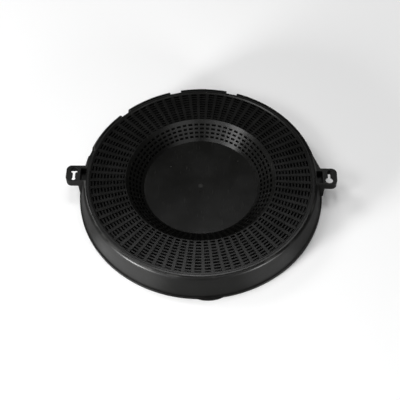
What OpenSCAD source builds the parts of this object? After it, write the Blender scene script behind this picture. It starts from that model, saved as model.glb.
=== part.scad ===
// Round carbon filter for a cooker hood. Millimetres, +Z up, the grille faces up.
// The origin is under the middle of the filter, on the surface that the rear cover lies on.
// The two ears lie along X.

/* [Body] */
// Radius of the lip round the foot of the front shell
lip_r = 118.4; // [115:0.2:124]
// Height of the whole filter, from the rear cover to the top of the rim
height = 27.2; // [25:0.2:34]
// Thickness of every wall of the front shell
wall = 1.8; // [1.4:0.1:2.2]
// Thickness of the lip
lip_t = 1.2; // [0.8:0.1:2.4]
// How far the lip stands out past the foot of the side wall
lip_out = 1.2; // [0.6:0.1:3]
// How far the side wall leans in, in degrees
wall_draft = 10.7; // [6:0.1:12]

/* [Rim] */
// Width of the flat land on top of the rim
land_w = 2.7; // [2.2:0.1:4]
// Radius of the rounded shoulder between the land and the side wall
shoulder_r = 4; // [3.4:0.1:5]
// How far the rim stands above the grille
rim_rise = 1.05; // [0.6:0.05:1.6]
// Width of the slope from the land down to the grille
rim_slope_w = 0.85; // [0.6:0.05:1.6]
// Number of notches in the far side of the rim
notch_count = 4; // [1:1:5]
// Angle of the first notch from the right ear, in degrees
notch_first = 74.6; // [30:0.2:80]
// Angle between two notches, in degrees
notch_step = 30; // [15:1:30]
// Width of a notch, in degrees
notch_deg = 6; // [3:0.2:8]
// How far a notch reaches in past the rounded shoulder
notch_in = 0.8; // [0.4:0.1:1.4]
// How far the floor of a notch or a pocket lies below the top of the rim
notch_drop = 8.2; // [6:0.1:9]

/* [Grille] */
// Number of slot columns round the filter
columns = 72; // [36:12:72]
// Number of slot rows in the flat grille
rows = 11; // [6:1:11]
// Distance between two rows
row_pitch = 3.12; // [2.6:0.02:3.2]
// Width of a slot, measured along the radius
slot_w = 1.7; // [1.1:0.05:2]
// Distance from the foot of the rim slope to the middle of the outer row
row_margin = 1.1; // [1.05:0.05:2]
// Width of the slots in every even column, in degrees
wide_slot_deg = 3.52; // [2.8:0.02:3.7]
// Width of the slots in every odd column, in degrees
narrow_slot_deg = 3.08; // [2.4:0.02:3.6]
// Height of the radial ribs, that lie on top of the thin rings between the rows
rib_h = 0.8; // [0.5:0.05:1]
// How far the columns stop inside the edges of the first and the last row
column_inset = 0.2; // [0.15:0.05:0.4]

/* [Bowl] */
// Distance from the middle of the inner row to the edge of the bowl
bowl_margin = 1.5; // [1.2:0.05:2]
// Width of the sloping band between the grille and the disc, seen from above
bowl_run = 16.9; // [14:0.1:20]
// Depth of the disc below the grille
bowl_drop = 14.2; // [11:0.1:15.5]
// Number of hole rows in the sloping band
bowl_rows = 4; // [2:1:4]
// Distance from the upper edge of the band to the middle of its first row, along the slope
bowl_first = 5.1; // [3:0.1:5.5]
// Distance between two rows of the band, along the slope
bowl_pitch = 4.05; // [3.2:0.05:4.2]
// Height of a hole of the band, along the slope
bowl_hole_h = 2.1; // [1.4:0.1:2.4]
// Radius of the moulding mark in the disc
gate_r = 1.5; // [1:0.1:4]
// Distance of the moulding mark from the middle of the disc, towards the near side
gate_off = 7.5; // [0:0.5:20]
// Depth of the moulding mark
gate_depth = 0.35; // [0.2:0.05:0.6]

/* [Ears] */
// How far an ear reaches past the lip
ear_reach = 11.8; // [11:0.2:18]
// Width of an ear
ear_w = 18.6; // [18:0.2:24]
// How far both ears sit off the middle, towards the far side
ear_shift = 2.2; // [0:0.1:4]
// How far both ears sit off the middle, towards the right
ear_off = 0.6; // [0:0.1:2]
// Thickness of the plate of an ear
ear_t = 2; // [1.5:0.1:3]
// How far the plate of an ear lies below the top of the rim
ear_below = 0.15; // [0.1:0.05:1]
// Radius of the outer corners of an ear
ear_corner_r = 5.2; // [2.5:0.1:8]
// Height of the skirt round the edge of an ear, from the top of its plate
skirt_h = 7.8; // [4:0.1:10]
// Thickness of that skirt
skirt_t = 1.2; // [0.8:0.1:1.6]
// Radius of the large end of the keyhole, that passes over the stud's head
key_head_r = 3.6; // [3:0.05:4]
// Radius of the small end of the keyhole, that holds the stud's neck
key_neck_r = 1.95; // [1.6:0.05:2.6]
// Width of the throat between the two ends of the keyhole
key_throat_w = 2.5; // [1.8:0.1:3]
// Length of the keyhole over both ends
key_len = 15.4; // [13:0.1:15.6]
// Distance from the tip of an ear to the middle of its keyhole
key_from_tip = 7.6; // [6.6:0.1:8]
// How far the keyhole sits nearer than the middle of the ear
key_shift = 0.25; // [-0.2:0.05:0.3]
// Width of the land between the keyhole and the pocket's box
key_land = 0.3; // [0.2:0.05:1]
// Length of the pocket between an ear and the side wall, along the wall
pocket_len = 14.3; // [10:0.1:14.4]
// How far the pocket sits nearer than the middle of the ear
pocket_shift = 0.9; // [0:0.05:0.95]
// Distance from the edge of the rim's land to the pocket
pocket_in = 1.3; // [0.8:0.1:2]
// Thickness of the side walls of the pocket's box
pocket_wall = 1.1; // [0.8:0.1:1.1]
// Thickness of the outer wall of the pocket's box
pocket_front = 2.2; // [1:0.1:3]
// Height of the foot of the pocket's box above the lip
pocket_foot = 4.2; // [2:0.1:8]
// How far the outer wall of the pocket's box leans in towards its foot
pocket_lean = 0.6; // [0:0.1:1]
// Angle from the ear at which the web beside the right ear leaves the rim, in degrees
web_deg = 18; // [14:0.5:22]
// How far that web stands out from the rim's land where it meets the ear
web_out = 6; // [3:0.1:7]

/* [Rear cover] */
// Thickness of the rear cover
cover_t = 1.8; // [1.4:0.1:2.4]
// Height of the seam that shows between the cover and the lip
seam_h = 0.35; // [0.2:0.05:0.6]
// Depth of that seam
seam_in = 1.2; // [0.6:0.1:2]
// How far the granules have settled below the grille and the bowl
settle = 2.2; // [0.5:0.1:4]
// Gap between the cover's collar and the front shell, and round the carbon
fit_gap = 0.3; // [0.2:0.05:0.5]
// Height of the collar that centres the cover in the front shell
collar_h = 3.2; // [2:0.1:6]
// Thickness of the collar
collar_t = 1.4; // [1:0.1:2]
// Number of rings of slots in the cover
cover_rings = 3; // [1:1:4]
// Number of slots in the inner ring of the cover
cover_slots = 60; // [40:4:64]
// Number of slots that each next ring has more
cover_slots_more = 18; // [0:6:24]
// Width of a slot of the cover, that the granules can't pass
cover_slot_w = 2; // [1.2:0.1:2.4]
// Width of the closed bands between the rings of slots
cover_band = 3.4; // [2:0.2:6]
// Radius of the closed middle of the cover
cover_hub_r = 44; // [40:1:60]
// Width of the closed edge of the cover inside its collar
cover_edge = 5; // [3:0.5:10]
// Radius of the rounded finger tab on the cover
tab_r = 30; // [20:1:60]
// How far the finger tab stands out past the cover
tab_out = 1.9; // [0.8:0.1:3]
// Angle of the finger tab from the middle of the near side, in degrees
tab_turn = 5.5; // [-20:0.5:20]

/* [Hidden] */

// Number of sides of a drawn circle. The rounded corners use fewer.
round_fn = 144;
corner_fn = 48;
shoulder_steps = 6;
inner_steps = 2;
ear_steps = 8;
// Extra length that takes a cut clear of the face that it starts from
clear = 1;

// Heights, from the surface that the filter lies on
lip_z = cover_t;
lip_top_z = lip_z + lip_t;
grille_z = height - rim_rise;
disc_z = grille_z - bowl_drop;
ledge_z = height - notch_drop;
ear_top_z = height - ear_below;

// Radii of the side wall. It leans in evenly up to the rounded shoulder, and meets it smoothly.
foot_r = lip_r - lip_out;
wall_in = wall / cos(wall_draft);
shoulder_z = height - shoulder_r * (1 - sin(wall_draft));
function wall_r(z) = foot_r - (z - lip_top_z) * tan(wall_draft);
land_out_r = wall_r(shoulder_z) - shoulder_r * cos(wall_draft);
notch_r = land_out_r - notch_in;
back_r = notch_r - wall;

// The inside of the shoulder, up to the underside of the grille
inner_r = shoulder_r - wall;
inner_top = asin(max(-1, min(1, (inner_r - rim_rise) / inner_r)));

// Radii of the rim and the grille
land_r = land_out_r - land_w;
grille_r = land_r - rim_slope_w;
function row_r(k) = grille_r - row_margin - k * row_pitch;
bowl_r = row_r(rows - 1) - bowl_margin;
disc_r = bowl_r - bowl_run;
column_deg = 360 / columns;
function slot_deg(i) = i % 2 == 0 ? wide_slot_deg : narrow_slot_deg;

// The sloping band: its length, and what a step along the slope is when seen from above
bowl_slant = norm([bowl_run, bowl_drop]);
plan = bowl_run / bowl_slant;
// Shift of the band's underside along the radius, so that the band is as thick as the walls
slope_shift = wall * (bowl_slant - bowl_run) / bowl_drop;
function bowl_row_r(k) = bowl_r - (bowl_first + k * bowl_pitch) * plan;

// Ears
tip_r = lip_r + ear_reach;
key_r = tip_r - key_from_tip;
key_step = key_len - key_head_r - key_neck_r;
key_head_y = key_len / 2 - key_head_r;
plate_z = ear_top_z - ear_t;
box_z = lip_top_z + pocket_foot;
box_top_r = key_r - key_head_r - key_land;
pocket_r = land_out_r + pocket_in;
function box_r(z) = box_top_r - pocket_lean * (plate_z - z) / (plate_z - box_z);

// The web leaves the rim where the shoulder has come this far out from the land
web_start = 2;
// Half the angle that the inner wall of a notch is wider than the notch
back_deg = atan(wall / back_r);

// Rear cover
collar_z = cover_t + collar_h;
collar_r = wall_r(collar_z) - wall_in - fit_gap;
collar_in_r = collar_r - collar_t;
cover_out_r = collar_in_r - cover_edge;
cover_slot_l = (cover_out_r - cover_hub_r - (cover_rings - 1) * cover_band) / cover_rings;

// Points of a rounded corner about a middle, from one angle to another
function corner(x, y, r, from, to, steps) =
  [for (i = [0:steps]) let (a = from + (to - from) * i / steps) [x + r * cos(a), y + r * sin(a)]];

// A four-sided opening between two radii, centred on the X axis and bounded by radial lines
module opening(r_in, r_out, deg) {
  a = deg / 2;
  polygon([
    [r_in * cos(a), -r_in * sin(a)],
    [r_out * cos(a), -r_out * sin(a)],
    [r_out * cos(a), r_out * sin(a)],
    [r_in * cos(a), r_in * sin(a)]
  ]);
}

// Half section of the front shell as it would be without slots, notches and ears
module shell_section() {
  polygon(concat(
    [[0, disc_z - wall], [disc_r + slope_shift, disc_z - wall]],
    [[bowl_r + slope_shift, grille_z - wall]],
    corner(land_out_r, height - shoulder_r, inner_r, max(inner_top, wall_draft + 1), wall_draft, inner_steps),
    [[foot_r - wall_in, lip_top_z], [foot_r - wall_in, lip_z], [lip_r, lip_z]],
    [[lip_r, lip_top_z], [foot_r, lip_top_z]],
    corner(land_out_r, height - shoulder_r, shoulder_r, wall_draft, 90, shoulder_steps),
    [[land_r, height], [grille_r, grille_z], [bowl_r, grille_z]],
    [[disc_r, disc_z], [0, disc_z]]
  ));
}

// Round body inside a surface that lies a given depth under the outside of the front shell
module body_core(depth) {
  rotate_extrude($fn = round_fn) polygon(concat(
    [[0, lip_top_z], [foot_r - depth / cos(wall_draft), lip_top_z]],
    corner(land_out_r, height - shoulder_r, shoulder_r - depth, wall_draft, 90, shoulder_steps),
    [[0, height - depth]]
  ));
}

// Outline of an ear's plate, from inside the side wall to the tip, or the same inside its skirt
module ear_outline(inset) {
  half = ear_w / 2 - inset;
  r = ear_corner_r - inset;
  polygon(concat(
    [[notch_r, -half]],
    corner(tip_r - ear_corner_r, r - half, r, -90, 0, ear_steps),
    corner(tip_r - ear_corner_r, half - r, r, 0, 90, ear_steps),
    [[notch_r, half]]
  ));
}

// Keyhole about the middle of its length, with the large end towards +Y
module keyhole() {
  translate([0, key_head_y]) circle(r = key_head_r, $fn = corner_fn);
  translate([0, key_head_y - key_step]) circle(r = key_neck_r, $fn = corner_fn);
  translate([-key_throat_w / 2, key_head_y - key_step]) square([key_throat_w, key_step]);
}

// Ear along +X: the plate with its skirt and the box of its pocket
module ear() {
  difference() {
    translate([0, 0, ear_top_z - skirt_h]) linear_extrude(skirt_h) ear_outline(0);
    translate([0, 0, ear_top_z - skirt_h - clear])
      linear_extrude(skirt_h - ear_t + clear) ear_outline(skirt_t);
  }
  pocket_block(notch_r, box_z, plate_z + ear_t / 2, pocket_len + 2 * pocket_wall, 0);
}

// Both ears, up to inside the side wall
module ears() {
  difference() {
    translate([ear_off, ear_shift, 0]) {
      ear();
      mirror([1, 0, 0]) ear();
    }
    body_core(wall / 2);
  }
}

// Block with the leaning outer face of the pocket's box, or of the pocket when it is inset
module pocket_block(in_r, from_z, to_z, w, inset) {
  translate([0, -pocket_shift, 0]) rotate([90, 0, 0]) linear_extrude(w, center = true) polygon([
    [in_r, from_z], [box_r(from_z) - inset, from_z],
    [box_r(to_z) - inset, to_z], [in_r, to_z]
  ]);
}

// What an ear along +X has cut out of it: the keyhole and the pocket
module ear_cuts(key_turn) {
  translate([key_r, -key_shift, plate_z - clear]) linear_extrude(ear_t + 2 * clear)
    rotate(key_turn) keyhole();
  pocket_block(pocket_r, ledge_z, height + clear, pocket_len, pocket_front);
}

// Flat web in the far corner between the rim and the right ear
module ear_web() {
  far_y = ear_shift + ear_w / 2 - ear_corner_r / 2;
  translate([0, 0, plate_z]) linear_extrude(ear_t) polygon([
    [notch_r, far_y], [land_out_r + web_out, far_y],
    [land_out_r + web_out, ear_shift + ear_w / 2],
    [(land_out_r + web_start) * cos(web_deg), (land_out_r + web_start) * sin(web_deg)],
    [notch_r * cos(web_deg), notch_r * sin(web_deg)]
  ]);
}

// Inner walls and floors of the notches and the pockets, inside the front shell
module backs() {
  intersection() {
    translate([0, 0, ledge_z - wall]) linear_extrude(grille_z - ledge_z + wall / 2) {
      for (i = [0:notch_count - 1]) rotate(notch_first + i * notch_step)
        opening(back_r, foot_r, notch_deg + 2 * back_deg);
      for (side = [-1, 1])
        translate([ear_off + side * (pocket_r - wall + foot_r) / 2, ear_shift - pocket_shift])
          square([foot_r - pocket_r + wall, pocket_len + 2 * wall], center = true);
    }
    body_core(wall / 2);
  }
}

// The flat grille has two layers, and a slot is open where a column crosses a row.
// Seen from above, the columns leave the radial ribs standing.
module grille_columns() {
  for (i = [0:columns - 1]) rotate(i * column_deg)
    opening(row_r(rows - 1) - slot_w / 2 + column_inset,
      row_r(0) + slot_w / 2 - column_inset, slot_deg(i));
}

// Seen from below, the rows leave the thin rings standing.
module grille_rows() {
  for (k = [0:rows - 1]) difference() {
    circle(r = row_r(k) + slot_w / 2, $fn = round_fn);
    circle(r = row_r(k) - slot_w / 2, $fn = round_fn);
  }
}

// Holes of the sloping band, seen from above
module bowl_holes() {
  for (i = [0:columns - 1]) rotate(i * column_deg) for (k = [0:bowl_rows - 1])
    opening(bowl_row_r(k) - bowl_hole_h * plan / 2,
      bowl_row_r(k) + bowl_hole_h * plan / 2, slot_deg(i));
}

// Notches in the outer corner of the rim, seen from above
module notches() {
  for (i = [0:notch_count - 1]) rotate(notch_first + i * notch_step)
    opening(notch_r, foot_r + clear, notch_deg);
}

module front_shell() color("#26272a") difference() {
  union() {
    rotate_extrude($fn = round_fn) shell_section();
    ears();
    ear_web();
    backs();
  }
  translate([0, 0, grille_z - rib_h]) linear_extrude(rib_h + clear) grille_columns();
  translate([0, 0, grille_z - wall - clear]) linear_extrude(wall - rib_h + clear) grille_rows();
  translate([0, 0, disc_z - wall]) linear_extrude(bowl_drop) bowl_holes();
  translate([0, 0, ledge_z]) linear_extrude(notch_drop + clear) notches();
  translate([0, -gate_off, disc_z - gate_depth])
    cylinder(r = gate_r, h = gate_depth + clear, $fn = corner_fn);
  translate([ear_off, ear_shift, 0]) {
    ear_cuts(180);
    mirror([1, 0, 0]) ear_cuts(0);
  }
}

// Half section of the rear cover: the plate, the shadow gap at its edge and the collar
module cover_section() {
  polygon([
    [0, 0], [lip_r, 0], [lip_r, cover_t - seam_h], [lip_r - seam_in, cover_t - seam_h],
    [lip_r - seam_in, cover_t], [collar_r, cover_t], [collar_r, collar_z],
    [collar_in_r, collar_z], [collar_in_r, cover_t], [0, cover_t]
  ]);
}

module rear_cover() color("#1d1e20") difference() {
  union() {
    rotate_extrude($fn = round_fn) cover_section();
    rotate(tab_turn) translate([0, tab_r - lip_r - tab_out])
      cylinder(r = tab_r, h = cover_t - seam_h, $fn = round_fn);
  }
  translate([0, 0, -clear]) linear_extrude(cover_t + 2 * clear) cover_openings();
}

// Radial slots of the cover, in rings
module cover_openings() {
  for (k = [0:cover_rings - 1]) {
    count = cover_slots + k * cover_slots_more;
    for (i = [0:count - 1]) rotate(i * 360 / count)
      translate([cover_hub_r + k * (cover_slot_l + cover_band), -cover_slot_w / 2])
        square([cover_slot_l, cover_slot_w]);
  }
}

// The granules as one solid between the shell and the cover, settled below the grille
module carbon_charge() color("#101010") rotate_extrude($fn = round_fn) {
  over_collar_z = collar_z + fit_gap;
  step_z = ledge_z - wall - fit_gap;
  under_z = grille_z - wall - settle;
  depth = wall_in + fit_gap;
  polygon([
    [0, cover_t], [collar_in_r - fit_gap, cover_t], [collar_in_r - fit_gap, over_collar_z],
    [wall_r(over_collar_z) - depth, over_collar_z], [wall_r(step_z) - depth, step_z],
    [back_r - wall, step_z], [back_r - wall, under_z], [bowl_r + slope_shift, under_z],
    [disc_r + slope_shift, disc_z - wall - settle], [0, disc_z - wall - settle]
  ]);
}

front_shell();
rear_cover();
carbon_charge();
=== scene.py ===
"""Looks of a round cooker hood carbon filter, laid out as a Blender add-on and run as a script."""

import math

import bpy
import numpy as np
from mathutils import Matrix, Vector

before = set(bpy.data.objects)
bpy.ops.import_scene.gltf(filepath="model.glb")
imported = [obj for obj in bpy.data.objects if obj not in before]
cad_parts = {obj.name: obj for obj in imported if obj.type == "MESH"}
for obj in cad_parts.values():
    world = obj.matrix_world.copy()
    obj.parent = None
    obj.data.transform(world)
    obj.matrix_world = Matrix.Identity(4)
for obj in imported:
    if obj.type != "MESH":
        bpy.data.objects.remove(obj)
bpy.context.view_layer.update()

bl_info = {
    "name": "Hood Carbon Filter",
    "version": (1, 0, 0),
    "blender": (4, 5, 0),
    "location": "3D View > Sidebar > Hood Filter",
    "description": "Finishes the moulded shell, rear cover and granules of a hood carbon filter",
    "category": "Object",
}

MM = 0.001

# The photograph's camera, worked out from the circles of the lip, rim, grille and disc.
CAMERA_ELEVATION = math.radians(55.409)
CAMERA_ROLL = math.radians(-1.023)
CAMERA_TURN = math.radians(2.15)
CAMERA_DISTANCE = 892.09 * MM
CAMERA_TARGET = (-0.883 * MM, -13.527 * MM, 7.15 * MM)
FOCAL_PIXELS = 920.77
FRAME_PIXELS = 400
SENSOR = 36.0

# Soft round lamps: name, azimuth and elevation in degrees, width in metres, power in watts.
LAMP_DISTANCE = 1.6
LAMPS = (
    ("low_left_front", 221, 8, 0.40, 47.0),
    ("low_right_front", 318, 8, 0.40, 17.0),
    ("left_back", 150, 42, 0.50, 4.9),
    ("left_front", 215, 42, 0.50, 5.0),
    ("front_left", 245, 45, 0.60, 1.8),
    ("front_right", 300, 54, 0.80, 2.4),
    ("overhead_right", 45, 66, 0.50, 2.4),
    ("overhead_left", 180, 66, 0.50, 3.7),
    ("overhead", 100, 75, 0.50, 4.2),
    ("overhead_back", 90, 64, 0.50, 0.2),
)

# Painted pools of light on the floor: sides whose bounce colour is made brighter: azimuth, half
# width and faded half width in degrees, and share of the brighter bounce.
PAINTED_LIGHT_PLACES = (
    (231, 12, 26, 1.0),
    (309, 5, 19, 0.55),
)
FLOOR_DROP = 0.05 * MM
FLOOR_GLOSS = 0.1
FLOOR_ROUGHNESS = 0.9

# Zones of the shell, from the middle outwards: radii and widths, each with how far it fades.
# The gate mark is a pale spot with a dark edge.
GATE_RADIUS = 1.1 * MM
GATE_EDGE_WIDTH = 1.2 * MM
GATE_FADE = 0.3 * MM
DISC_RADIUS = 55.0 * MM
DISC_FADE = 0.6 * MM
# The groove line is painted shade: a dark ring in the shell's colour.
GROOVE_RADIUS = 108.3 * MM
GROOVE_WIDTH = 0.7 * MM
GROOVE_FADE = 0.2 * MM
SHOULDER_RADIUS = 110.6 * MM
SHOULDER_WEAR_WIDTH = 1.2 * MM
SHOULDER_FADE = 0.4 * MM
WALL_FADE = 1.0 * MM

# Radii for a zone that goes on to the middle, or on past the lip.
TO_THE_MIDDLE = -1.0
PAST_THE_LIP = 1.0

# The range in which nearly all values of a noise lie.
NOISE_LOW = 0.25
NOISE_HIGH = 0.75
GRAIN_DETAIL = 3.0
CLOUD_DETAIL = 4.0

# A speck of dust is full near the middle of its cell and gone farther out, in cells.
SPECK_FULL = 0.04
SPECK_GONE = 0.14

# Scuffs: a turned noise stretched to so many waves per metre, and the values of it that show.
SCUFF_TURN = 0.6
SCUFF_WAVES = (1400.0, 90.0, 300.0)
SCUFF_DETAIL = 2.0
SCUFF_START = 0.66
SCUFF_FULL = 0.74

# Shell: the cloud values between which the shoulder wears, and how strongly each mark shows.
WEAR_START = 0.48
WEAR_FULL = 0.66
WEAR_STRENGTH = 0.8
GATE_STRENGTH = 0.8
SPECK_STRENGTH = 0.8
SCUFF_STRENGTH = 0.25
# The groove's dark colour and how strongly it shows are painted shade.
GROOVE_SHADE_STRENGTH = 0.8
GROOVE_SHADE_COLOUR = (0.001, 0.001, 0.001)
GROOVE_DULLNESS = 0.4
SHELL_CLOUD_ROUGHNESS = 0.05

# Rear cover.
COVER_GLOSS = 0.3
COVER_DUST_COLOUR = (0.04, 0.04, 0.038)
COVER_SPECK_STRENGTH = 0.7
COVER_CLOUD_ROUGHNESS = 0.06

# Granules: top and gap as distances from the middle of a cell, and both ends of the roughness.
GRANULE_GLOSS = 0.15
GRANULE_TOP = 0.2
GRANULE_GAP = 0.7
# The gaps between granules are darkened as painted shade.
GAP_SHADE_COLOUR = (0.0005, 0.0005, 0.0005)
GRANULE_SMOOTHEST = 0.6
GRANULE_ROUGHEST = 0.95

# Bumps: strength and height.
SHELL_BUMP = (0.12, 0.05 * MM)
COVER_BUMP = (0.15, 0.06 * MM)
GRANULE_BUMP = (1.0, 1.0 * MM)

# Shading of the solids: points closer than this are one, and edges sharper than this stay sharp.
WELD_DISTANCE = 0.002 * MM
SHARP_ANGLE = math.radians(28)


class StageSettings(bpy.types.PropertyGroup):
    """Floor, lamps and camera"""

    floor_colour: bpy.props.FloatVectorProperty(
        name="Floor", description="Colour of the floor under the filter",
        subtype="COLOR", size=3, default=(0.93, 0.93, 0.93), min=0.0, max=1.0)
    floor_bounce: bpy.props.FloatVectorProperty(
        name="Floor bounce", description="Colour of the light that the floor throws back",
        subtype="COLOR", size=3, default=(0.28, 0.28, 0.28), min=0.0, max=1.0)
    # Painted light: a brighter bounce colour on two sides of the floor.
    painted_light_bounce: bpy.props.FloatVectorProperty(
        name="Bright bounce", description="Colour of the bounce at the floor's brighter sides",
        subtype="COLOR", size=3, default=(0.95, 0.95, 0.95), min=0.0, max=1.0)
    floor_half: bpy.props.FloatProperty(
        name="Floor half width", description="Half the width of the floor",
        default=1.1, min=0.5, unit="LENGTH")
    lamp_power: bpy.props.FloatProperty(
        name="Lamps", description="Factor on the power of every lamp",
        default=1.0, min=0.0, subtype="FACTOR")


class ShellSettings(bpy.types.PropertyGroup):
    """Finish of the front shell"""

    colour: bpy.props.FloatVectorProperty(
        name="Plastic", description="Colour of the moulded plastic",
        subtype="COLOR", size=3, default=(0.0044, 0.0044, 0.0041), min=0.0, max=1.0)
    worn_colour: bpy.props.FloatVectorProperty(
        name="Worn plastic", description="Colour of the scuffed shoulder and the gate mark",
        subtype="COLOR", size=3, default=(0.035, 0.035, 0.033), min=0.0, max=1.0)
    dust_colour: bpy.props.FloatVectorProperty(
        name="Dust", description="Colour of the fine dust",
        subtype="COLOR", size=3, default=(0.05, 0.05, 0.046), min=0.0, max=1.0)
    gloss: bpy.props.FloatProperty(
        name="Specular level", description="Strength of the plastic's reflection",
        default=0.3, min=0.0, max=1.0, subtype="FACTOR")
    face_roughness: bpy.props.FloatProperty(
        name="Face roughness", description="Roughness of the grille and the rim",
        default=0.27, min=0.0, max=1.0, subtype="FACTOR")
    disc_roughness: bpy.props.FloatProperty(
        name="Disc roughness", description="Roughness of the smooth disc",
        default=0.20, min=0.0, max=1.0, subtype="FACTOR")
    # Part dust, part painted sheen on the smooth disc.
    disc_dust_and_sheen: bpy.props.FloatProperty(
        name="Disc haze", description="Share of dust in the colour of the smooth disc",
        default=0.04, min=0.0, max=1.0, subtype="FACTOR")
    wall_roughness: bpy.props.FloatProperty(
        name="Wall roughness", description="Roughness of the side wall",
        default=0.37, min=0.0, max=1.0, subtype="FACTOR")
    grain: bpy.props.FloatProperty(
        name="Grain", description="Size of the moulded grain",
        default=0.0006, min=0.0001, unit="LENGTH")


class CoverSettings(bpy.types.PropertyGroup):
    """Finish of the rear cover"""

    colour: bpy.props.FloatVectorProperty(
        name="Plastic", description="Colour of the moulded plastic",
        subtype="COLOR", size=3, default=(0.0040, 0.0040, 0.0038), min=0.0, max=1.0)
    roughness: bpy.props.FloatProperty(
        name="Roughness", description="Roughness of the moulded surface",
        default=0.40, min=0.0, max=1.0, subtype="FACTOR")


class GranuleSettings(bpy.types.PropertyGroup):
    """The bed of granules"""

    colour: bpy.props.FloatVectorProperty(
        name="Carbon", description="Colour of the granules",
        subtype="COLOR", size=3, default=(0.003, 0.003, 0.003), min=0.0, max=1.0)
    size: bpy.props.FloatProperty(
        name="Granule", description="Width of one granule",
        default=0.003, min=0.001, unit="LENGTH")


def node(tree, kind, **values):
    """Adds a node to a tree and sets its properties by name."""
    made = tree.nodes.new(kind)
    for name, value in values.items():
        setattr(made, name, value)
    return made


def feed(tree, target, source):
    """Joins a socket to another, or sets its value when the source is a plain value."""
    if isinstance(source, bpy.types.NodeSocket):
        tree.links.new(source, target)
    else:
        target.default_value = source


def maths(tree, operation, *values):
    """The result of one Math node on two or three sockets or numbers."""
    made = node(tree, "ShaderNodeMath", operation=operation)
    for socket, value in zip(made.inputs, values):
        feed(tree, socket, value)
    return made.outputs[0]


def span(tree, value, low, high, start=0.0, end=1.0):
    """Start where the value is low, end where it is high, and a smooth way between."""
    made = node(tree, "ShaderNodeMapRange", interpolation_type="SMOOTHSTEP")
    for label, source in (("Value", value), ("From Min", low), ("From Max", high),
                          ("To Min", start), ("To Max", end)):
        feed(tree, made.inputs[label], source)
    return made.outputs["Result"]


def blend(tree, mask, first, second):
    """A colour between two colours, by a mask."""
    made = node(tree, "ShaderNodeMix", data_type="RGBA")
    feed(tree, made.inputs["Factor"], mask)
    for label, source in (("A", first), ("B", second)):
        socket = [s for s in made.inputs if s.name == label and s.type == "RGBA"][0]
        feed(tree, socket, source if isinstance(source, bpy.types.NodeSocket) else (*source, 1.0))
    return [s for s in made.outputs if s.type == "RGBA"][0]


def new_group(name, inputs, outputs):
    """A shader node group with named sockets: each input is a name and its usual value."""
    group = bpy.data.node_groups.new(name, "ShaderNodeTree")
    for label, default in inputs:
        socket = group.interface.new_socket(
            name=label, in_out="INPUT", socket_type="NodeSocketFloat")
        socket.default_value = default
    for label in outputs:
        group.interface.new_socket(name=label, in_out="OUTPUT", socket_type="NodeSocketFloat")
    return group, group.nodes.new("NodeGroupInput"), group.nodes.new("NodeGroupOutput")


def use_group(tree, name, **values):
    """Places a group in a material with its own values."""
    made = node(tree, "ShaderNodeGroup", node_tree=bpy.data.node_groups[name])
    for label, value in values.items():
        feed(tree, made.inputs[label.replace("_", " ")], value)
    return made


def grain_group():
    """Fine moulded grain: one noise for the height, and a broad one for clouds in the gloss."""
    group, given, made = new_group(
        "moulded_grain", [("Size", 0.0006), ("Cloud Size", 0.03)], ["Height", "Cloud"])
    place = node(group, "ShaderNodeTexCoord").outputs["Object"]
    for size, detail, result in (("Size", GRAIN_DETAIL, "Height"),
                                 ("Cloud Size", CLOUD_DETAIL, "Cloud")):
        noise = node(group, "ShaderNodeTexNoise")
        noise.inputs["Detail"].default_value = detail
        feed(group, noise.inputs["Vector"], place)
        feed(group, noise.inputs["Scale"], maths(group, "DIVIDE", 1.0, given.outputs[size]))
        feed(group, made.inputs[result], noise.outputs["Fac"])


def ring_group():
    """A mask of one ring round the middle: up at Inner, down at Outer, each over twice Edge."""
    group, given, made = new_group(
        "ring_band", [("Inner", 0.0), ("Outer", 0.1), ("Edge", 0.0005)], ["Mask"])
    flat = node(group, "ShaderNodeVectorMath", operation="MULTIPLY")
    feed(group, flat.inputs[0], node(group, "ShaderNodeTexCoord").outputs["Object"])
    flat.inputs[1].default_value = (1.0, 1.0, 0.0)
    length = node(group, "ShaderNodeVectorMath", operation="LENGTH")
    feed(group, length.inputs[0], flat.outputs["Vector"])
    radius = length.outputs["Value"]
    masks = []
    for label, start, end in (("Inner", 0.0, 1.0), ("Outer", 1.0, 0.0)):
        low = maths(group, "SUBTRACT", given.outputs[label], given.outputs["Edge"])
        high = maths(group, "ADD", given.outputs[label], given.outputs["Edge"])
        masks.append(span(group, radius, low, high, start, end))
    feed(group, made.inputs["Mask"], maths(group, "MULTIPLY", *masks))


def dust_group():
    """Specks in a few cells of a cell pattern, and scuffs where a stretched noise peaks."""
    group, given, made = new_group(
        "dust_and_scuffs", [("Speck Size", 0.004), ("Amount", 0.1)], ["Dust", "Scuff"])
    place = node(group, "ShaderNodeTexCoord").outputs["Object"]
    cells = node(group, "ShaderNodeTexVoronoi")
    feed(group, cells.inputs["Vector"], place)
    feed(group, cells.inputs["Scale"], maths(group, "DIVIDE", 1.0, given.outputs["Speck Size"]))
    near = span(group, cells.outputs["Distance"], SPECK_FULL, SPECK_GONE, 1.0, 0.0)
    parts = node(group, "ShaderNodeSeparateColor")
    feed(group, parts.inputs["Color"], cells.outputs["Color"])
    chosen = maths(group, "LESS_THAN", parts.outputs["Red"], given.outputs["Amount"])
    feed(group, made.inputs["Dust"], maths(group, "MULTIPLY", near, chosen))
    stretch = node(group, "ShaderNodeMapping")
    stretch.inputs["Rotation"].default_value = (0.0, 0.0, SCUFF_TURN)
    stretch.inputs["Scale"].default_value = SCUFF_WAVES
    feed(group, stretch.inputs["Vector"], place)
    noise = node(group, "ShaderNodeTexNoise")
    noise.inputs["Scale"].default_value = 1.0
    noise.inputs["Detail"].default_value = SCUFF_DETAIL
    feed(group, noise.inputs["Vector"], stretch.outputs["Vector"])
    feed(group, made.inputs["Scuff"], span(group, noise.outputs["Fac"], SCUFF_START, SCUFF_FULL))


def new_material(name, gloss):
    """A material with its tree and its shader, whose reflection has a set strength."""
    material = bpy.data.materials.new(name)
    material.use_nodes = True
    shader = material.node_tree.nodes["Principled BSDF"]
    shader.inputs["Specular IOR Level"].default_value = gloss
    return material, material.node_tree, shader


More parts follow.
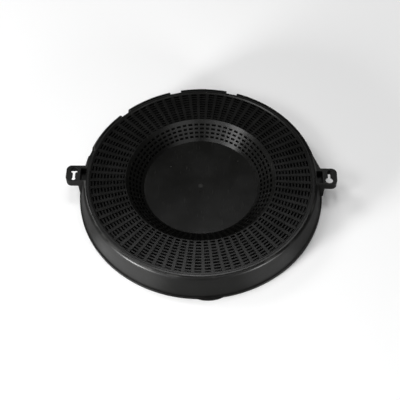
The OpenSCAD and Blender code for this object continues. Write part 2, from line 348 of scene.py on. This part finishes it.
def bumped(tree, shader, height, strength, distance, **options):
    """Feeds a height into the shader's normal."""
    bump = node(tree, "ShaderNodeBump", **options)
    bump.inputs["Strength"].default_value = strength
    bump.inputs["Distance"].default_value = distance
    feed(tree, bump.inputs["Height"], height)
    feed(tree, shader.inputs["Normal"], bump.outputs["Normal"])


def zone(tree, inner, outer, fade):
    """The mask of one ring of the shell."""
    return use_group(tree, "ring_band", Inner=inner, Outer=outer, Edge=fade).outputs["Mask"]


def shell_plastic(s):
    """Black moulded plastic: smooth disc, satin grille, grained wall, a groove line of painted
    shade, wear, dust, and dust with painted sheen on the disc.
    """
    material, tree, shader = new_material("shell_plastic", s.gloss)
    grain = use_group(tree, "moulded_grain", Size=s.grain, Cloud_Size=0.022)
    dust = use_group(tree, "dust_and_scuffs", Speck_Size=0.006, Amount=0.03)
    disc = zone(tree, TO_THE_MIDDLE, DISC_RADIUS, DISC_FADE)
    wall = zone(tree, SHOULDER_RADIUS, PAST_THE_LIP, WALL_FADE)
    groove = zone(tree, GROOVE_RADIUS - GROOVE_WIDTH / 2, GROOVE_RADIUS + GROOVE_WIDTH / 2,
                  GROOVE_FADE)
    shoulder = zone(tree, SHOULDER_RADIUS, SHOULDER_RADIUS + SHOULDER_WEAR_WIDTH, SHOULDER_FADE)
    gate = zone(tree, TO_THE_MIDDLE, GATE_RADIUS, GATE_FADE)
    gate_edge = zone(tree, GATE_RADIUS, GATE_RADIUS + GATE_EDGE_WIDTH, GATE_FADE)

    # Colour: the groove's painted shade and the gate's dark edge first, then wear over them, then
    # dust, scuffs, and dust with painted sheen on the disc over all.
    patches = span(tree, grain.outputs["Cloud"], WEAR_START, WEAR_FULL, 0.0, WEAR_STRENGTH)
    wear = maths(tree, "MAXIMUM", maths(tree, "MULTIPLY", shoulder, patches),
                 maths(tree, "MULTIPLY", gate, GATE_STRENGTH))
    dark = maths(tree, "MAXIMUM", groove, gate_edge)
    specks = maths(tree, "MULTIPLY", dust.outputs["Dust"], SPECK_STRENGTH)
    scuffs = maths(tree, "MULTIPLY", dust.outputs["Scuff"], SCUFF_STRENGTH)
    # Part dust, part painted sheen: the smooth disc's colour is lifted a share towards the dust
    # colour.
    dust_and_sheen = maths(tree, "MULTIPLY", disc, s.disc_dust_and_sheen)
    marks_and_sheen = maths(tree, "MAXIMUM", maths(tree, "MAXIMUM", specks, scuffs), dust_and_sheen)
    # Painted shade: the groove line is darkened in the colour, together with the gate's dark edge.
    shaded = blend(tree, maths(tree, "MULTIPLY", dark, GROOVE_SHADE_STRENGTH), s.colour, GROOVE_SHADE_COLOUR)
    worn = blend(tree, wear, shaded, s.worn_colour)
    feed(tree, shader.inputs["Base Color"], blend(tree, marks_and_sheen, worn, s.dust_colour))

    # Roughness: the face's own, changed step by step over the disc, the wall and the dark lines.
    face = maths(tree, "MULTIPLY_ADD", disc, s.disc_roughness - s.face_roughness,
                 s.face_roughness)
    whole = maths(tree, "MULTIPLY_ADD", wall, s.wall_roughness - s.face_roughness, face)
    clouds = span(tree, grain.outputs["Cloud"], NOISE_LOW, NOISE_HIGH,
                  -SHELL_CLOUD_ROUGHNESS, SHELL_CLOUD_ROUGHNESS)
    dull = maths(tree, "MULTIPLY_ADD", dark, GROOVE_DULLNESS, maths(tree, "ADD", whole, clouds))
    feed(tree, shader.inputs["Roughness"], maths(tree, "MAXIMUM", dull, marks_and_sheen))
    bumped(tree, shader, grain.outputs["Height"], *SHELL_BUMP)
    return material


def cover_plastic(s):
    """Black moulded plastic with an even grain, some clouds in its gloss, and dust."""
    material, tree, shader = new_material("cover_plastic", COVER_GLOSS)
    grain = use_group(tree, "moulded_grain", Size=0.0008, Cloud_Size=0.03)
    dust = use_group(tree, "dust_and_scuffs", Speck_Size=0.008, Amount=0.08)
    specks = maths(tree, "MULTIPLY", dust.outputs["Dust"], COVER_SPECK_STRENGTH)
    feed(tree, shader.inputs["Base Color"], blend(tree, specks, s.colour, COVER_DUST_COLOUR))
    feed(tree, shader.inputs["Roughness"],
         span(tree, grain.outputs["Cloud"], NOISE_LOW, NOISE_HIGH,
              s.roughness - COVER_CLOUD_ROUGHNESS, s.roughness + COVER_CLOUD_ROUGHNESS))
    bumped(tree, shader, grain.outputs["Height"], *COVER_BUMP)
    return material


def carbon(s):
    """Dull granules: a cell pattern gives their round heights, painted shade in the gaps between
    them, and a few glints.
    """
    material, tree, shader = new_material("carbon", GRANULE_GLOSS)
    cells = node(tree, "ShaderNodeTexVoronoi")
    cells.inputs["Scale"].default_value = 1.0 / s.size
    feed(tree, cells.inputs["Vector"], node(tree, "ShaderNodeTexCoord").outputs["Object"])
    # Painted shade: the colour darkens towards the gaps between granules.
    gap_shade = span(tree, cells.outputs["Distance"], GRANULE_TOP, GRANULE_GAP)
    feed(tree, shader.inputs["Base Color"], blend(tree, gap_shade, s.colour, GAP_SHADE_COLOUR))
    parts = node(tree, "ShaderNodeSeparateColor")
    feed(tree, parts.inputs["Color"], cells.outputs["Color"])
    feed(tree, shader.inputs["Roughness"],
         span(tree, parts.outputs["Green"], 0.0, 1.0, GRANULE_SMOOTHEST, GRANULE_ROUGHEST))
    bumped(tree, shader, cells.outputs["Distance"], *GRANULE_BUMP, invert=True)
    return material


def dress(part, material):
    """Gives a CAD node its material, and smooth shading that breaks at its real edges."""
    part.data.materials.clear()
    part.data.materials.append(material)
    count = len(part.data.polygons)
    part.data.polygons.foreach_set("use_smooth", np.ones(count, dtype=bool))
    weld = part.modifiers.new("join", "WELD")
    weld.merge_threshold = WELD_DISTANCE
    split = part.modifiers.new("edges", "EDGE_SPLIT")
    split.split_angle = SHARP_ANGLE
    split.use_edge_sharp = False


class FILTER_OT_shell(bpy.types.Operator):
    """Finishes the front shell in satin moulded plastic"""

    bl_idname = "filter.shell"
    bl_label = "Front shell"

    def execute(self, context):
        dress(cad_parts["front_shell"], shell_plastic(context.scene.filter_shell))
        return {"FINISHED"}


class FILTER_OT_cover(bpy.types.Operator):
    """Finishes the rear cover in satin moulded plastic"""

    bl_idname = "filter.cover"
    bl_label = "Rear cover"

    def execute(self, context):
        dress(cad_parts["rear_cover"], cover_plastic(context.scene.filter_cover))
        return {"FINISHED"}


class FILTER_OT_granules(bpy.types.Operator):
    """Finishes the charge as a bed of dull granules"""

    bl_idname = "filter.granules"
    bl_label = "Granules"

    def execute(self, context):
        dress(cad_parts["carbon_charge"], carbon(context.scene.filter_granules))
        return {"FINISHED"}


def round_lamp(name, azimuth, elevation, width, power):
    """A round soft lamp on a dome round the filter, turned towards its middle."""
    data = bpy.data.lights.new(name, "AREA")
    data.shape = "DISK"
    data.size = width
    data.energy = power
    lamp = bpy.data.objects.new(name, data)
    turn = math.radians(azimuth)
    rise = math.radians(elevation)
    place = Vector((math.cos(rise) * math.cos(turn), math.cos(rise) * math.sin(turn),
                    math.sin(rise))) * LAMP_DISTANCE
    lamp.location = place
    lamp.rotation_euler = (-place).to_track_quat("-Z", "Y").to_euler()
    lamp.visible_camera = False
    bpy.context.scene.collection.objects.link(lamp)


def painted_light_places(tree):
    """A mask of the painted pools of light on the floor's sides, which fade over their edges."""
    outwards = node(tree, "ShaderNodeVectorMath", operation="NORMALIZE")
    feed(tree, outwards.inputs[0], node(tree, "ShaderNodeTexCoord").outputs["Object"])
    mask = 0.0
    for azimuth, half, fade, share in PAINTED_LIGHT_PLACES:
        along = node(tree, "ShaderNodeVectorMath", operation="DOT_PRODUCT")
        feed(tree, along.inputs[0], outwards.outputs["Vector"])
        turn = math.radians(azimuth)
        along.inputs[1].default_value = (math.cos(turn), math.sin(turn), 0.0)
        side = span(tree, along.outputs["Value"], math.cos(math.radians(fade)),
                    math.cos(math.radians(half)), 0.0, share)
        mask = maths(tree, "MAXIMUM", side, mask)
    return mask


class FILTER_OT_stage(bpy.types.Operator):
    """Floor, soft lamps and the photograph's camera"""

    bl_idname = "filter.stage"
    bl_label = "Stage"

    def execute(self, context):
        s = context.scene.filter_stage
        self.floor(s)
        for name, azimuth, elevation, width, power in LAMPS:
            round_lamp(name, azimuth, elevation, width, power * s.lamp_power)
        self.surroundings()
        self.camera(context)
        context.scene.view_settings.view_transform = "Standard"
        return {"FINISHED"}

    def floor(self, s):
        """A flat square just under the filter: white to the camera, grey to all other rays, with
        painted pools of light on two sides.
        """
        mesh = bpy.data.meshes.new("floor")
        half = s.floor_half
        mesh.from_pydata([(-half, -half, 0), (half, -half, 0), (half, half, 0), (-half, half, 0)],
                         [], [(0, 1, 2, 3)])
        floor = bpy.data.objects.new("floor", mesh)
        floor.location.z = -FLOOR_DROP
        bpy.context.scene.collection.objects.link(floor)
        material, tree, shader = new_material("floor_paper", FLOOR_GLOSS)
        seen = node(tree, "ShaderNodeLightPath").outputs["Is Camera Ray"]
        # Painted light: the bounce colour is brighter on the floor's two painted sides.
        bounce = blend(tree, painted_light_places(tree), s.floor_bounce, s.painted_light_bounce)
        feed(tree, shader.inputs["Base Color"], blend(tree, seen, bounce, s.floor_colour))
        shader.inputs["Roughness"].default_value = FLOOR_ROUGHNESS
        floor.data.materials.append(material)

    def surroundings(self):
        """White for the camera alone; the lamps give the light."""
        world = bpy.data.worlds.new("studio")
        bpy.context.scene.world = world
        world.use_nodes = True
        tree = world.node_tree
        background = tree.nodes["Background"]
        background.inputs["Color"].default_value = (1, 1, 1, 1)
        seen = node(tree, "ShaderNodeLightPath").outputs["Is Camera Ray"]
        tree.links.new(seen, background.inputs["Strength"])

    def camera(self, context):
        """Looks at the target from the fitted elevation, with the fitted roll and lens."""
        tilt = CAMERA_ELEVATION
        back = Vector((0, -math.cos(tilt), math.sin(tilt)))
        right = Vector((1, 0, 0))
        up = Vector((0, math.sin(tilt), math.cos(tilt)))
        c, r = math.cos(CAMERA_ROLL), math.sin(CAMERA_ROLL)
        turned_right = right * c + up * r
        turned_up = up * c - right * r
        place = Vector(CAMERA_TARGET) + back * CAMERA_DISTANCE
        axes = Matrix((turned_right, turned_up, back)).transposed().to_4x4()
        data = bpy.data.cameras.new("camera")
        data.sensor_width = SENSOR
        data.lens = FOCAL_PIXELS * SENSOR / FRAME_PIXELS
        camera = bpy.data.objects.new("camera", data)
        camera.matrix_world = (
            Matrix.Rotation(CAMERA_TURN, 4, "Z") @ Matrix.Translation(place) @ axes)
        context.scene.collection.objects.link(camera)
        context.scene.camera = camera


class FILTER_PT_panel(bpy.types.Panel):
    """Lists the pieces of the filter"""

    bl_label = "Hood Filter"
    bl_idname = "FILTER_PT_panel"
    bl_space_type = "VIEW_3D"
    bl_region_type = "UI"
    bl_category = "Hood Filter"

    def draw(self, context):
        for settings, operator in PANEL_ROWS:
            box = self.layout.box()
            group = getattr(context.scene, settings)
            for name in group.__annotations__:
                box.prop(group, name)
            box.operator(operator)


PANEL_ROWS = (
    ("filter_stage", "filter.stage"),
    ("filter_shell", "filter.shell"),
    ("filter_cover", "filter.cover"),
    ("filter_granules", "filter.granules"),
)

SETTINGS = {
    "filter_stage": StageSettings,
    "filter_shell": ShellSettings,
    "filter_cover": CoverSettings,
    "filter_granules": GranuleSettings,
}

CLASSES = (
    *SETTINGS.values(),
    FILTER_OT_stage,
    FILTER_OT_shell,
    FILTER_OT_cover,
    FILTER_OT_granules,
    FILTER_PT_panel,
)


def register():
    for cls in CLASSES:
        bpy.utils.register_class(cls)
    for name, group in SETTINGS.items():
        setattr(bpy.types.Scene, name, bpy.props.PointerProperty(type=group))


def unregister():
    for name in SETTINGS:
        delattr(bpy.types.Scene, name)
    for cls in reversed(CLASSES):
        bpy.utils.unregister_class(cls)


def main():
    """Registers the add-on, builds the stage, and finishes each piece."""
    register()
    grain_group()
    ring_group()
    dust_group()
    bpy.ops.filter.stage()
    bpy.ops.filter.shell()
    bpy.ops.filter.cover()
    bpy.ops.filter.granules()


if __name__ == "__main__":
    main()
